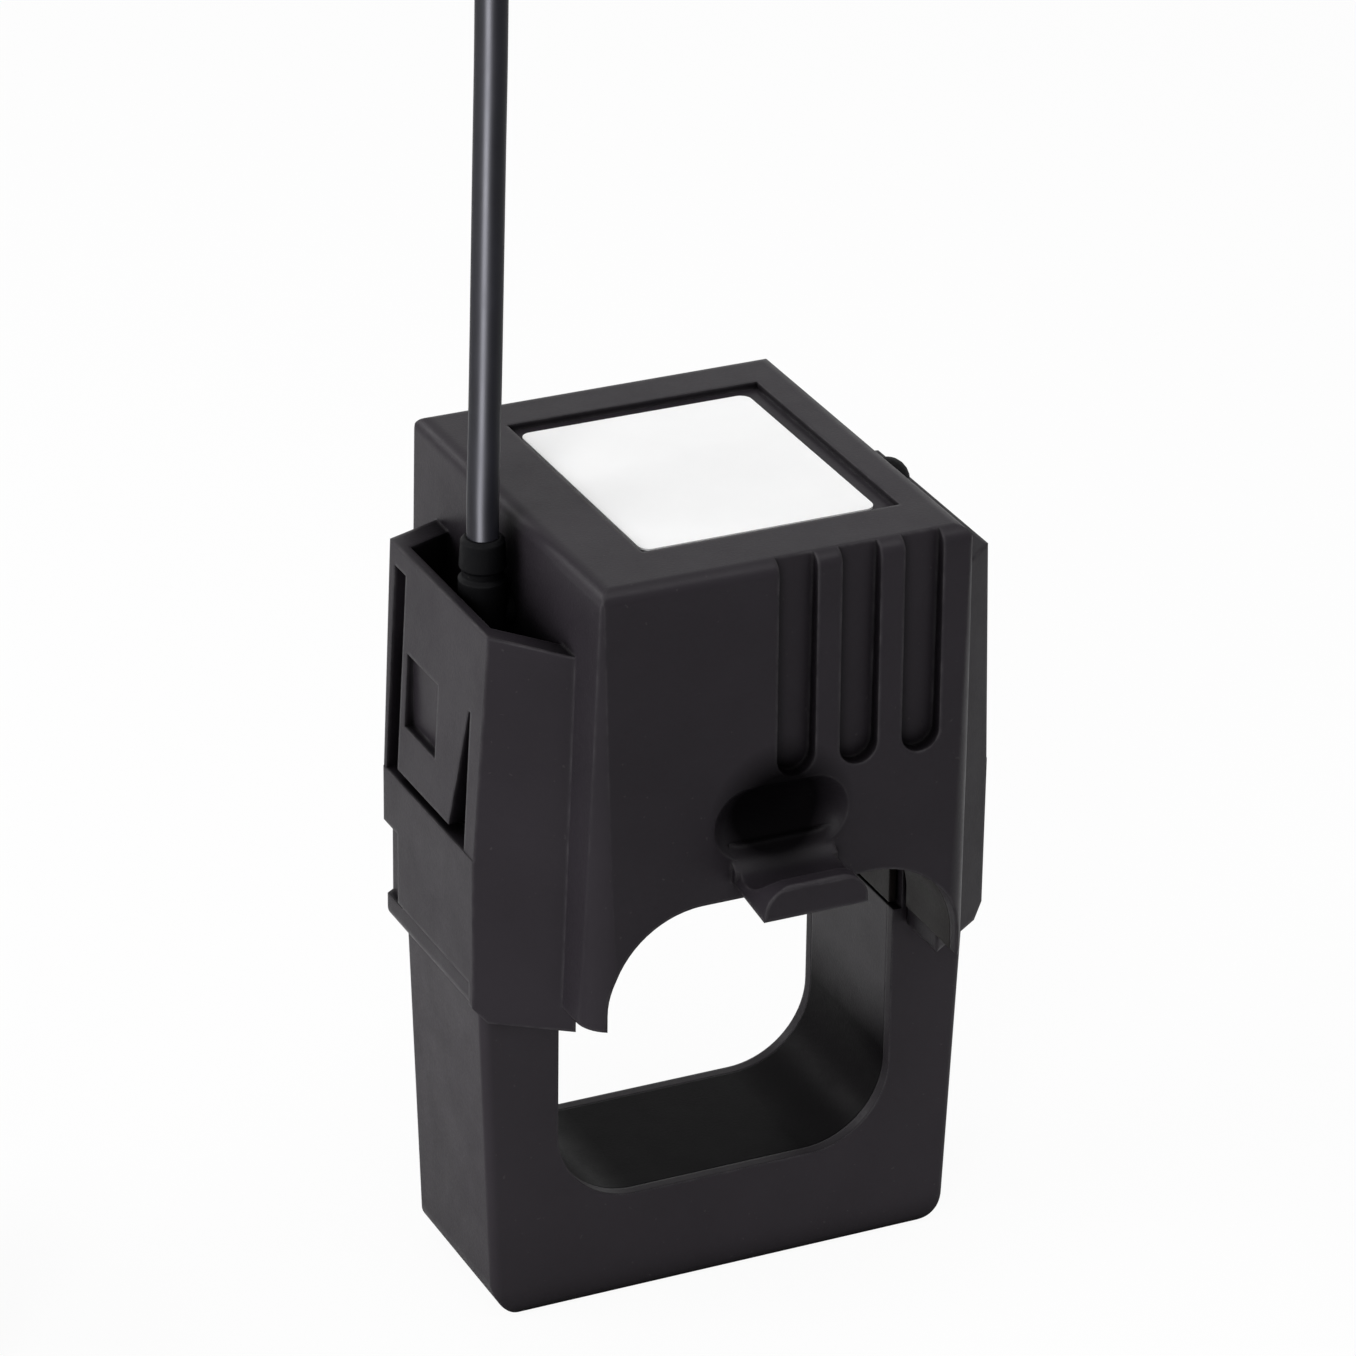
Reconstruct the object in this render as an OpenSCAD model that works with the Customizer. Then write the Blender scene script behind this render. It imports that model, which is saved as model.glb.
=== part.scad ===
// Split-core current transformer: an upper housing with the secondary winding clips down over the
// legs of a U-shaped lower frame, and together they close round the primary conductor.
// +Z up, +Y away from the front; the origin is the centre of the lower frame's foot.

/* [Primary window] */
// Clear width between the legs of the lower frame
window_w = 44; // [43:0.5:45]
// Radius of the window's lower corners
window_corner = 10.5; // [8:0.5:12]
// Clear width of the arch through the upper housing
arch_w = 45.6; // [45.2:0.1:45.8]
// Height of the top of the arch above the foot
arch_top = 60.4; // [59:0.2:61]
// Radius of the arch's shoulders
arch_corner = 12; // [10:0.5:13]

/* [Lower frame] */
// Width across the foot
foot_w = 60.4; // [60:0.2:61]
// Depth of the lower frame, front to back
frame_d = 23.2; // [22.8:0.1:23.4]
// Thickness of the bar under the window
bar_h = 13.6; // [12.5:0.1:15]
// Widening of the outer sides, in degrees
frame_draft = 2.3; // [2:0.1:2.6]
// Radius of the two lower corners
foot_corner = 5; // [3:0.5:6]
// Height at which the full width of the legs ends
shoulder_z = 42.6; // [41.6:0.2:42.8]
// Height at which the window side of the legs steps outward
inner_top = 45; // [44:0.2:45]
// Height of the tips of the legs
leg_top = 64; // [62:0.5:64]

/* [Upper housing] */
// Width of the winding block at its top
block_w = 46.8; // [46.6:0.2:47.6]
// Depth of the winding block at its top
block_d = 54.4; // [54:0.2:55.4]
// Height of the top of the winding block
block_top = 102.2; // [101.8:0.2:103]
// Height of the lowest edge of the front and back skirts
skirt_z = 46.2; // [45.5:0.1:48]
// Width over the two wings at their lower belt
wing_w = 66.9; // [66.6:0.1:67.4]
// Depth of the flat outer face of a wing
wing_d = 26.8; // [26:0.2:28]
// Height of the rim of a wing
wing_top = 93.2; // [92.6:0.2:94]
// Height of the lower end of a wing
wing_z = 43; // [42.9:0.1:43.4]
// Reach of each cable-tie tongue in front of its skirt
tongue_reach = 9; // [7:0.2:11]
// Width of each cable-tie tongue
tongue_w = 13.1; // [12:0.1:18]

/* [Core and winding] */
// Thickness of a leg of the core
core_leg = 4.6; // [4:0.1:4.6]
// Depth of the core's stack of sheets
core_d = 20; // [18:0.5:20]
// Thickness of the core's yoke
core_yoke = 7.2; // [6:0.1:7.4]
// Outer width of the secondary winding, front to back
winding_d = 41; // [36:1:43]
// Outer height of the secondary winding
winding_h = 26; // [24:1:26]

/* [Lead] */
// Diameter of the sheathed two-core lead
lead_dia = 3.8; // [3.6:0.1:4]
// Diameter of the coil at the middle of its turns
coil_mid_dia = 36; // [35:0.5:37]
// Turns of the coil side by side
coil_columns = 3; // [3:1:4]
// Turns of the coil on each other
coil_layers = 6; // [4:1:7]

/* [Hidden] */
$fn = 48;
eps = 0.01;
far = 60;                                   // longer than any cut that runs right through

// Lower frame
half_window = window_w / 2;
half_frame_d = frame_d / 2;
draft_run = tan(frame_draft);
shell_wall = 1.5;                           // front and back faces of the lower shell
lining_wall = 1.4;
tongue_in = half_window + 1.2;              // inner side of a leg inside the upper housing
tongue_out = 29.9;                          // outer side of it, between the guide ribs
guide_out = 30.7;                           // outer side over its guide ribs
guide_count = 3;
guide_pitch = 7.5;
guide_w = 1.6;
edge_r = 1.2;                               // rounding of the moulded edges

// Upper housing
half_arch = arch_w / 2;
housing_x = -0.4;                           // the housing's outside stands off the tunnel's middle
block_y = 0.4;
block_draft_x = 1.35;
block_draft_y = 0.9;
corner_r = 4.2;                             // upright corners of the block
top_r = 1.8;                                // edges round the block's top
wall = 1.5;
rim = 3;                                    // thickness of a wing's rim, before its draft
rim_root = 91.6;                            // height of the rim where it meets the block
half_wing = wing_w / 2;
wing_top_half = half_wing - 1.5;
wing_root_y = 20.4;                         // where a wing's chamfer meets the block
belt_top = 64.2;                              // top of the proud belt on a wing
belt_low = 47.7;
lip_top = 46.9;
strip_y = -12.2;                            // the groove under the belt stops at the front strip
pocket_floor = 82.5;
liner_wall = 0.9;
seat_gap = 0.05;                            // between the liner and its seat in the shell
sleeve_x = 31;                              // outer side of the sockets for the legs
sleeve_y = half_frame_d + 0.3;
sleeve_top = 64.4;
hollow_x = 29.4;                            // outer side of the hollows above the sockets
arm_gap_z = 65.5;                           // free lower end of a latch arm
cavity_y = 23.9;
cavity_x = 21.8;
cavity_top = 100;
leads_z = 89.8;                             // height of the hole for the inner leads

// Label in the top
label_x = [-14.1, 15.7];
label_y = [-16.6, 18.6];
recess_x = [-14.8, 17.9];
recess_y = [-18, 20.4];
label_depth = 0.8;
label_thick = 0.25;

// Cable-tie tongues and their scoops, from the middle of the housing's outside
tongue_mid = -0.35;
scoop_mid = -0.6;

// Grip flutes
flute_right = [3.2, 11.2, 19.2];
flute_w = 4.9;
flute_bottom = 74.8;
flute_floor = 25.4;                         // distance of the flutes' floor from the middle

// Core and winding
core_out = 28.8;
core_low = 4.6;
core_air_gap = 0.1;
core_corner = 4;
yoke_mid = 76.5;
bobbin_half = 20.6;
flange = 1.3;
bobbin_wall = 1.2;
bobbin_gap = 0.1;
tape_thick = 0.5;
tag_y = 6;

// Lead
lead_r = lead_dia / 2;
lead_x = -27.4;
lead_y = -1.5;
grommet_top = 99.5;
plug_at = [26.4, 2];
// Route of the lead from the grommet over to the side and down beside the coil
lead_route = [[-27.4, -1.5, grommet_top], [-27.4, -1.5, 103.5], [-27.2, -1.5, 112],
              [-27, -1.5, 122], [-26.8, -1.5, 134], [-26.6, -1.5, 146], [-26.4, -1.6, 160],
              [-26.4, -1.9, 178], [-26.4, -2, 195], [-28.3, -0.9, 207.2], [-33.6, 2.2, 217.9],
              [-41.8, 7, 225.8], [-51.9, 12.9, 230.1], [-62.6, 19.1, 230.1],
              [-73, 25, 225.8], [-81.3, 29.8, 217.9], [-86.7, 32.9, 207.2],
              [-88.5, 34, 195], [-88.5, 34, 178], [-88.5, 34, 161], [-88.5, 34, 144],
              [-88.5, 34, 128], [-88.5, 34, 112], [-88.5, 34, 96], [-88.5, 34, 80],
              [-88.5, 34, 64], [-88.5, 34, 48], [-88.5, 34, 33], [-88.5, 34, 20],
              [-88.5, 32.9, 13], [-88.5, 30.1, 8.2], [-88.5, 27.3, 5.6]];
lead_sides = 8;
coil_at = [-110.3, 13.3];
coil_low = 0.6;                             // the tie passes under the coil
coil_w = coil_columns * lead_dia;
coil_h = coil_layers * lead_dia;
coil_in = (coil_mid_dia - coil_w) / 2;
coil_top = coil_low + coil_h;
tie_w = 4;
tie_thick = 0.6;
tail_len = 9;
core_wire_r = 0.7;
core_wire_len = 12;
ferrule_r = 0.55;
ferrule_len = 8;

// ---- Outlines and small tools ----

// Extrudes an outline drawn in X and Z through Y
module through_y(y0, y1) {
  translate([0, y1, 0]) rotate([90, 0, 0]) linear_extrude(y1 - y0) children();
}

// Extrudes an outline drawn in Y and Z through X
module through_x(x0, x1) {
  translate([x0, 0, 0]) rotate([90, 0, 90]) linear_extrude(x1 - x0) children();
}

// Extrudes an outline drawn in X and Y upward
module between_z(z0, z1) {
  translate([0, 0, z0]) linear_extrude(z1 - z0) children();
}

module box(x, y, z) {
  translate([x[0], y[0], z[0]]) cube([x[1] - x[0], y[1] - y[0], z[1] - z[0]]);
}

module both_sides() {
  children();
  mirror([1, 0, 0]) children();
}

// Rectangle with four round corners
module rounded(a, b, r) {
  translate([a[0] + r, b[0]]) square([a[1] - a[0] - 2 * r, b[1] - b[0]]);
  translate([a[0], b[0] + r]) square([a[1] - a[0], b[1] - b[0] - 2 * r]);
  for (u = [a[0] + r, a[1] - r], v = [b[0] + r, b[1] - r]) translate([u, v]) circle(r);
}

// Opening with a flat top and round shoulders
module arch(half, top, r, low) {
  translate([-half, low]) square([2 * half, top - r - low]);
  translate([-half + r, low]) square([2 * (half - r), top - low]);
  intersection() {
    for (s = [-1, 1]) translate([s * (half - r), top - r]) circle(r);
    translate([-half, low]) square([2 * half, top - low]);
  }
}

// Opening with a flat floor and round lower corners
module trough(half, low, r, top) {
  translate([-half, low + r]) square([2 * half, top - low - r]);
  translate([-half + r, low]) square([2 * (half - r), top - low]);
  for (s = [-1, 1]) translate([s * (half - r), low + r]) circle(r);
}

// Upright outline that widens downward by the draft, with round upper corners
module drafted(half_top, draft, low, top, r) {
  cx = half_top - r * (1 - sin(draft)) / cos(draft);
  foot = half_top + (top - low) * tan(draft);
  polygon([[-foot, low], [foot, low],
           [cx + r * cos(draft), top - r + r * sin(draft)], [cx, top], [-cx, top],
           [-cx - r * cos(draft), top - r + r * sin(draft)]]);
  for (s = [-1, 1]) translate([s * cx, top - r]) circle(r);
}

// ---- Lower frame ----

// Front outline of the lower frame's outside, up to the shoulder
module frame_outline(inset) {
  r = foot_corner - inset;
  edge = foot_w / 2 - inset / cos(frame_draft) + inset * draft_run;
  cx = edge - r * (1 - sin(frame_draft)) / cos(frame_draft);
  top = shoulder_z - inset;
  translate([0, inset]) {
    polygon([[-cx, 0], [cx, 0], [cx + r * cos(frame_draft), r - r * sin(frame_draft)],
             [edge + top * draft_run, top], [-edge - top * draft_run, top],
             [-cx - r * cos(frame_draft), r - r * sin(frame_draft)]]);
    for (s = [-1, 1]) translate([s * cx, r]) circle(r);
  }
}

// Takes the edge off one leaning outer corner of a leg
module leaning_edge(y_side) {
  lean = [0, frame_draft, 0];
  both_sides()
    translate([foot_w / 2 - edge_r, y_side * (half_frame_d - edge_r), 0]) rotate(lean)
      difference() {
        translate([0, y_side > 0 ? 0 : -2 * edge_r, -2]) cube([2 * edge_r, 2 * edge_r, far]);
        translate([0, 0, -3]) cylinder(far + 2, r = edge_r);
      }
}

module lower_outside() {
  difference() {
    intersection() {
      through_y(-half_frame_d, half_frame_d) frame_outline(0);
      through_x(-far, far)
        difference() {
          rounded([-half_frame_d, half_frame_d], [0, far], edge_r);
          translate([-far, shoulder_z]) square([2 * far, far]);
        }
    }
    for (s = [-1, 1]) leaning_edge(s);
  }
}

// One leg above the shoulder, inside the upper housing, with its guide ribs
module leg_tongue() {
  box([tongue_in, tongue_out], [-half_frame_d, half_frame_d], [shoulder_z - 2, leg_top]);
  box([half_window, tongue_out], [-half_frame_d, half_frame_d], [shoulder_z - 2, inner_top]);
  for (i = [0 : guide_count - 1])
    box([tongue_out - eps, guide_out],
        [(i - 1) * guide_pitch - guide_w / 2, (i - 1) * guide_pitch + guide_w / 2],
        [shoulder_z - 1, leg_top - 2]);
}

// Channel for the core, open towards the window
module core_channel() {
  reach = core_out + 0.05;
  inner_d = half_frame_d - shell_wall;
  through_y(-inner_d, inner_d) {
    trough(reach, shell_wall, core_corner, leg_top + 1);
  }
}

module lower_shell() {
  color([0.15, 0.14, 0.15])
    difference() {
      union() {
        difference() {
          lower_outside();
          through_y(-far, far) trough(half_window, bar_h, window_corner, far);
        }
        both_sides() leg_tongue();
      }
      core_channel();
    }
}

// Window side of the lower frame: closes the core's channel, and steps outward at its top
module lower_lining() {
  inner_d = half_frame_d - shell_wall;
  color([0.15, 0.14, 0.15])
    through_y(-inner_d, inner_d) {
      difference() {
        trough(half_window + lining_wall, bar_h - lining_wall, window_corner + lining_wall,
               inner_top);
        trough(half_window, bar_h, window_corner, far);
      }
      for (s = [-1, 1])
        translate([s > 0 ? tongue_in : -tongue_in - lining_wall / 2, inner_top - 1])
          square([lining_wall / 2, leg_top - inner_top + 1]);
    }
}

// U-shaped stack of electrical steel; its pole faces are the leg tips
module core_half(yoke_low, yoke_high, tips) {
  high = tips > yoke_low;
  mid = core_out - core_leg;
  through_y(-core_d / 2, core_d / 2)
    difference() {
      if (high) trough(core_out, yoke_low, core_corner, tips);
      else arch(core_out, yoke_high, core_corner, tips);
      if (high) translate([-mid, yoke_high]) square([2 * mid, tips - yoke_high + 1]);
      else translate([-mid, tips - 1]) square([2 * mid, yoke_low - tips + 1]);
    }
}

module lower_core() {
  color([0.45, 0.46, 0.48]) core_half(core_low, core_low + core_yoke, leg_top);
}

// Wave spring under the core, which presses its pole faces against the upper core
spring_half = 21;
spring_waves = 3;
spring_low = shell_wall;
spring_thick = 0.4;
spring_swing = (core_low - spring_low - spring_thick) / 2;
function spring_z(x) =
  spring_low + spring_swing * (1 - cos(360 * spring_waves * (x + spring_half) / (2 * spring_half)));

module core_spring() {
  step = spring_half / 24;
  under = [for (i = [0 : 48]) let (x = -spring_half + i * step) [x, spring_z(x)]];
  over = [for (i = [48 : -1 : 0]) let (x = -spring_half + i * step) [x, spring_z(x) + spring_thick]];
  color([0.7, 0.71, 0.73]) through_y(-8, 8) polygon(concat(under, over));
}

// ---- Upper housing ----

module block_outside() {
  foot_x = block_w / 2 + (block_top - skirt_z) * tan(block_draft_x);
  foot_y = block_d / 2 + (block_top - skirt_z) * tan(block_draft_y);
  intersection() {
    between_z(skirt_z, block_top) rounded([-foot_x, foot_x], [-foot_y, foot_y], corner_r);
    through_y(-far, far) drafted(block_w / 2, block_draft_x, skirt_z, block_top, top_r);
    through_x(-far, far) drafted(block_d / 2, block_draft_y, skirt_z, block_top, top_r);
  }
}

// Plan of both wings, drawn inset from their outside
module wings_plan(inset) {
  flat = wing_d / 2;
  run = (wing_root_y - flat) / (half_wing - block_w / 2);
  push = inset * sqrt(1 + run * run);
  root = wing_root_y - push;
  x = half_wing - inset;
  y = wing_root_y - push - run * (x - block_w / 2);
  polygon([[-x, -y], [-block_w / 2, -root], [block_w / 2, -root], [x, -y],
           [x, y], [block_w / 2, root], [-block_w / 2, root], [-x, y]]);
}

// Front outline of the wings' leaning outer panels, with the rim falling towards the block
module wings_panels() {
  for (s = [-1, 1])
    polygon([[0, belt_low], [s * half_wing, belt_low], [s * half_wing, belt_top],
             [s * (half_wing - 0.1), belt_top], [s * wing_top_half, wing_top],
             [s * block_w / 2, rim_root], [0, rim_root]]);
}

// Front outline of the wings' lower ends, with a rounded lip and a groove under the belt
module wings_lips() {
  lip = half_wing - 0.6;
  groove = half_wing - 0.8;
  lip_r = 2;
  for (s = [-1, 1]) {
    polygon([[0, wing_z], [s * (lip - lip_r), wing_z], [s * lip, wing_z + lip_r],
             [s * lip, lip_top], [s * groove, lip_top], [s * groove, belt_low + 1],
             [0, belt_low + 1]]);
    translate([s * (lip - lip_r), wing_z + lip_r]) circle(lip_r);
  }
}

// Front outline of the plain strips in front of the lips, with a chamfered lower end
module wings_strips() {
  for (s = [-1, 1])
    polygon([[0, wing_z], [s * (half_wing - 1.5), wing_z], [s * half_wing, wing_z + 1.75],
             [s * half_wing, belt_low + 1], [0, belt_low + 1]]);
}

module wings_outside() {
  intersection() {
    between_z(wing_z, wing_top) wings_plan(0);
    union() {
      through_y(-far, far) wings_panels();
      through_y(strip_y, far) wings_lips();
      through_y(-far, strip_y) wings_strips();
    }
  }
}

// Slots that free a latch arm in the outer wall of a wing, its thumb recess and the belt's notch
module latch_cuts() {
  arm_low = -10.6;
  arm_back = 9.4;
  slot_w = 3.3;
  inner = hollow_x - 0.5;
  through_x(inner, far) {
    polygon([[arm_low, arm_gap_z - eps], [arm_low + 4.6, arm_gap_z - eps],
             [arm_low + 0.4, 82], [arm_low, 82]]);
    translate([arm_back, arm_gap_z - eps]) square([slot_w, 90.6 - arm_gap_z]);
    translate([arm_low, belt_top]) square([arm_back + slot_w - arm_low, arm_gap_z - belt_top]);
  }
  box([half_wing - 1.6, far], [-1.2, 7.9], [71.8, 81.2]);
  box([half_wing - 1.6, far], [9.2, far], [belt_low - 1, 57]);
}

// Tongue with an upturned lip, in front of the arch, for the cable tie round the conductor
module tie_tongue() {
  skirt_y = block_d / 2 + (block_top - arch_top) * tan(block_draft_y);
  tip = skirt_y + tongue_reach;
  low = arch_top + 1.3;
  high = low + 4.2;
  side = [tongue_mid - tongue_w / 2, tongue_mid + tongue_w / 2];
  dish_r = 4.4;
  intersection() {
    through_x(side[0], side[1])
      difference() {
        polygon([[-skirt_y + 1, low + 1.2], [-tip + 0.3, low], [-tip, low + 0.3],
                 [-tip - 0.1, high - 0.4], [-tip + 0.3, high], [-tip + 1.9, high],
                 [-skirt_y + 1, high + 1.5]]);
        translate([-tip + 5.7, high + 2.3]) circle(dish_r);
      }
    union() {
      through_y(-far, -skirt_y - 1)
        translate([tongue_mid, 0]) arch(tongue_w / 2, high, 3.4, low - 1);
      box(side, [-skirt_y - 1, 0], [low - 1, high + 3]);
    }
  }
}

// Shallow scoop in the skirt above a tongue, which leaves room for the tie
module tie_scoop() {
  skirt_y = block_d / 2 + (block_top - arch_top) * tan(block_draft_y);
  r = 6;
  at = [skirt_y + r - 2.3, arch_top + 9.4];
  translate([scoop_mid - 4, -at[0], at[1]]) rotate([0, 90, 0]) cylinder(8, r = r);
  for (s = [-1, 1]) translate([scoop_mid + s * 4, -at[0], at[1]]) sphere(r);
}

module flutes() {
  for (x = flute_right)
    through_y(-far, -flute_floor)
      union() {
        translate([x - flute_w, flute_bottom + flute_w / 2]) square([flute_w, far]);
        translate([x - flute_w / 2, flute_bottom + flute_w / 2]) circle(flute_w / 2);
      }
}

// Everything hollow in the upper housing, seen from below
module housing_hollows() {
  seat_x = half_arch + liner_wall + seat_gap;
  seat_z = arch_top + liner_wall + seat_gap;
  hollow_top = pocket_floor - wall;
  // seat of the tunnel liner, and the winding's space above it
  through_y(-cavity_y - 1, cavity_y + 1) arch(seat_x, seat_z, arch_corner + liner_wall, 0);
  box([-cavity_x, cavity_x], [-cavity_y, cavity_y], [seat_z - 1, cavity_top]);
  // sockets for the legs of the lower frame, with room for the upper core's legs above them
  box([-sleeve_x, sleeve_x], [-sleeve_y, sleeve_y], [0, sleeve_top]);
  box([-hollow_x, hollow_x], [-sleeve_y, sleeve_y], [sleeve_top - 1, hollow_top]);
  // triangular hollows behind the chamfers
  both_sides()
    for (s = [-1, 1])
      between_z(0, hollow_top)
        polygon([[seat_x + 1.2, s * (sleeve_y + 1.2)], [31.4, s * (sleeve_y + 1.2)],
                 [seat_x + 1.2, s * (wing_root_y - 2.6)]]);
}

// Open pocket in the top of each wing
module wing_pockets() {
  both_sides()
    difference() {
      between_z(pocket_floor, wing_top + 1) wings_plan(rim);
      box([-far, block_w / 2 + 0.25], [-far, far], [0, far * 2]);
    }
}

// Places what belongs to the front of the block, and repeats it at its back
module front_and_back() {
  for (turn = [0, 180]) translate([housing_x, block_y, 0]) rotate([0, 0, turn]) children();
}

module housing_shell() {
  color([0.13, 0.12, 0.13])
    difference() {
      union() {
        difference() {
          union() {
            translate([housing_x, block_y, 0]) block_outside();
            translate([housing_x, 0, 0]) wings_outside();
          }
          housing_hollows();
          translate([housing_x, 0, 0]) {
            wing_pockets();
            both_sides() latch_cuts();
          }
          flutes();
          front_and_back() tie_scoop();
          box(recess_x, recess_y, [block_top - label_depth, far * 2]);
          translate([-cavity_x - 4, lead_y, leads_z]) rotate([0, 90, 0]) cylinder(5, r = 2.1);
        }
        front_and_back() tie_tongue();
      }
      through_y(-far, far) arch(half_arch, arch_top, arch_corner, 0);
    }
}

// Arched lining of the conductor's tunnel; it closes the winding's space from below
module tunnel_liner() {
  reach = cavity_y + 0.95;
  sleeve_half = 10.4;
  slot_end = 13.3;
  color([0.12, 0.1, 0.1])
    difference() {
      union() {
        through_y(-reach, reach)
          difference() {
            arch(half_arch + liner_wall, arch_top + liner_wall, arch_corner + liner_wall, skirt_z);
            arch(half_arch, arch_top, arch_corner, 0);
          }
        through_y(-sleeve_half, sleeve_half)
          difference() {
            arch(half_window + liner_wall, arch_top + liner_wall, arch_corner, inner_top + 0.5);
            arch(half_window, arch_top, arch_corner - 0.6, 0);
          }
      }
      both_sides() {
        box([half_window + liner_wall, far], [-sleeve_y, sleeve_y], [0, sleeve_top]);
        for (s = [-1, 1])
          box([half_window - 2, far], s > 0 ? [sleeve_half, slot_end] : [-slot_end, -sleeve_half],
              [0, 57]);
      }
    }
}

module nameplate() {
  color([0.95, 0.95, 0.94])
    translate([0, 0, block_top - label_depth]) linear_extrude(label_thick)
      rounded(label_x, label_y, 1.4);
}

module upper_core() {
  color([0.45, 0.46, 0.48])
    core_half(yoke_mid - core_yoke / 2, yoke_mid + core_yoke / 2, leg_top + core_air_gap);
}

// ---- Winding ----

// Upright oblong round the yoke, grown outward from it
module round_yoke(grow, r) {
  y = core_d / 2 + grow;
  z = core_yoke / 2 + grow;
  rounded([-y, y], [yoke_mid - z, yoke_mid + z], r);
}

module winding_outline(extra) {
  y = winding_d / 2 + extra;
  z = winding_h / 2 + extra;
  rounded([-y, y], [yoke_mid - z, yoke_mid + z], 8 + extra);
}

module bobbin() {
  flange_y = winding_d / 2 + 3;
  flange_z = [arch_top + liner_wall + 0.9, yoke_mid + winding_h / 2 + 1.2];
  color([0.85, 0.82, 0.72])
    difference() {
      union() {
        through_x(-bobbin_half, bobbin_half) round_yoke(bobbin_gap + bobbin_wall, 1);
        both_sides()
          through_x(bobbin_half - flange, bobbin_half) rounded([-flange_y, flange_y], flange_z, 2);
      }
      through_x(-far, far) round_yoke(bobbin_gap, 0.3);
      for (s = [-1, 1])
        translate([-bobbin_half + flange / 2, s * tag_y, flange_z[1] - 3]) cylinder(4, r = 0.4);
    }
}

module secondary_winding() {
  half = bobbin_half - flange;
  color([0.72, 0.42, 0.2])
    difference() {
      through_x(-half, half) winding_outline(0);
      through_x(-far, far) round_yoke(bobbin_gap + bobbin_wall, 1);
    }
}

module winding_tape() {
  half = bobbin_half - flange;
  color([0.86, 0.72, 0.2])
    difference() {
      through_x(-half, half) winding_outline(tape_thick);
      through_x(-far, far) winding_outline(0);
    }
}

// Soldering pin pressed into the edge of the bobbin's left flange
module solder_tag(y) {
  top = yoke_mid + winding_h / 2 + 1.2;
  color([0.8, 0.78, 0.7])
    translate([-bobbin_half + flange / 2, y, top - 3]) cylinder(5, r = 0.4, $fn = 24);
}

module tag_start() { solder_tag(-tag_y); }

module tag_finish() { solder_tag(tag_y); }

// Insulated core of the lead, from the grommet's spigot to its soldering pin
module inner_lead(side) {
  x = -cavity_x + 0.55;
  pin = [-bobbin_half + flange / 2, side * tag_y, yoke_mid + winding_h / 2 + 2.2];
  tube([[x, lead_y + side * 0.9, leads_z], [x, side * (tag_y - 1), pin[2] - 0.3],
        [x + 0.1, side * (tag_y - 0.3), pin[2]], [x + 0.5, side * tag_y, pin[2]],
        pin + [-0.4, 0, 0]], 0.42, lead_sides);
}

module inner_lead_brown() { color([0.4, 0.22, 0.1]) inner_lead(-1); }

module inner_lead_blue() { color([0.12, 0.3, 0.65]) inner_lead(1); }

// Strain relief that stands in the left pocket, with a spigot through the block's wall
module cable_grommet() {
  color([0.2, 0.19, 0.2]) {
    translate([lead_x, lead_y, 0])
      rotate_extrude()
        polygon([[0, pocket_floor], [3.2, pocket_floor], [3.2, pocket_floor + 2.4],
                 [2.9, pocket_floor + 3], [2.9, 94.2], [2.5, 94.6], [2.5, 95.4], [2.8, 95.8],
                 [2.6, grommet_top - 0.5], [2.2, grommet_top], [0, grommet_top]]);
    translate([lead_x, lead_y, leads_z]) rotate([0, 90, 0])
      cylinder(-cavity_x - lead_x, r = 2.05);
  }
}

// Domed plug in the same place on the right, where no lead leaves
module blanking_plug() {
  color([0.16, 0.15, 0.16])
    translate([plug_at[0], plug_at[1], 0])
      rotate_extrude()
        polygon(concat([[0, pocket_floor], [3, pocket_floor], [3, pocket_floor + 2.4],
                        [2.8, pocket_floor + 3]],
                       [for (a = [0 : 15 : 90]) [2.8 * cos(a), 95.4 + 2.8 * sin(a)]]));
}

// ---- Lead ----

function unit(v) = v / norm(v);
function tangent(p, i) = unit(p[min(i + 1, len(p) - 1)] - p[max(i - 1, 0)]);
function carried(u, t) = unit(u - (u * t) * t);
function sides(p, i = 0, u = [0, 1, 0]) =
  i == len(p) ? [] : let (v = carried(u, tangent(p, i))) concat([v], sides(p, i + 1, v));

// Round tube swept through the points
module tube(p, r, n) {
  across = sides(p);
  rings = [for (i = [0 : len(p) - 1], k = [0 : n - 1])
    let (t = tangent(p, i), u = across[i], w = cross(t, u), a = 360 * k / n)
      p[i] + r * (cos(a) * u + sin(a) * w)];
  last = (len(p) - 1) * n;
  skin = [for (i = [0 : len(p) - 2], k = [0 : n - 1])
    let (a = i * n + k, b = i * n + (k + 1) % n) [a, a + n, b + n, b]];
  ends = [[for (k = [0 : n - 1]) k], [for (k = [n - 1 : -1 : 0]) last + k]];
  polyhedron(rings, concat(skin, ends));
}

module cable_run() {
  color([0.1, 0.1, 0.12]) tube(lead_route, lead_r, lead_sides);
}

module cable_coil() {
  color([0.1, 0.1, 0.12])
    translate([coil_at[0], coil_at[1], 0])
      rotate_extrude($fn = 64)
        rounded([coil_in, coil_in + coil_w], [coil_low, coil_top], lead_r * 0.9);
}

// Band round the bundle of turns
module coil_tie() {
  out = 0.12;
  inner_gap = 0.35;                         // the turns bend inward beside the band's middle
  color([0.3, 0.3, 0.32])
    translate([coil_at[0], coil_at[1], 0]) rotate([0, 0, 90])
      through_y(-tie_w / 2, tie_w / 2)
        difference() {
          rounded([-coil_in - coil_w - out - tie_thick, -coil_in + inner_gap + tie_thick],
                  [coil_low - tie_thick, coil_top + out + tie_thick], 2.2);
          rounded([-coil_in - coil_w - out, -coil_in + inner_gap], [coil_low, coil_top + out], 1.2);
        }
}

// The lead's end lies along the top of the coil, on its outer side
tail_at = [coil_at[0] - coil_in - coil_w / 2, coil_at[1] - 8, coil_top + lead_r + 0.02];
module along_tail(from, length, aside, r, n) {
  translate(tail_at + [aside, from, 0]) rotate([-90, 0, 0]) cylinder(length, r = r, $fn = n);
}

module cable_tail() { color([0.1, 0.1, 0.12]) along_tail(0, tail_len, 0, lead_r, 24); }

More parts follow.
